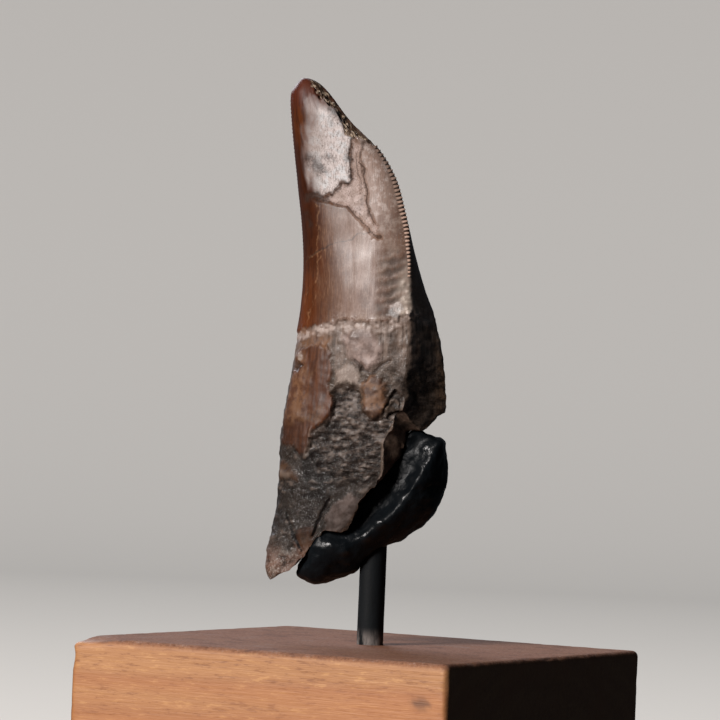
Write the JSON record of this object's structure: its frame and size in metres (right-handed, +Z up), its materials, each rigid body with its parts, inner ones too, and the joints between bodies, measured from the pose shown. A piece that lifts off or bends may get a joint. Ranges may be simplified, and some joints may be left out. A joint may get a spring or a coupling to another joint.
{
  "type": "fossil tyrannosaurus tooth on a display stand",
  "caption": "Curved fossil theropod tooth with serrated edges and a broken root, held by a black putty cradle on a steel pin in a square wooden block.",
  "frame": {"origin": "centre of the wooden block's underside", "axes": "+Z up along the pin; X and Y along the block's sides; the tooth's broad side is turned 29 degrees about Z away from the block's -Y face, towards +X"},
  "size_m": [0.079, 0.079, 0.1511],
  "materials": {
    "fossil_enamel_and_bone": "polished brown enamel on the crown, rough grey-brown bone on the root",
    "black_putty": "hand-smoothed black epoxy putty, satin",
    "black_steel": "satin black steel rod",
    "oiled_wood": "fine-grained brown wood, sanded and oiled, soft edges"
  },
  "bodies": {
    "root": {"tooth": "fossil_enamel_and_bone", "cradle": "black_putty", "pin": "black_steel", "block": "oiled_wood"}
  },
  "joints": []
}
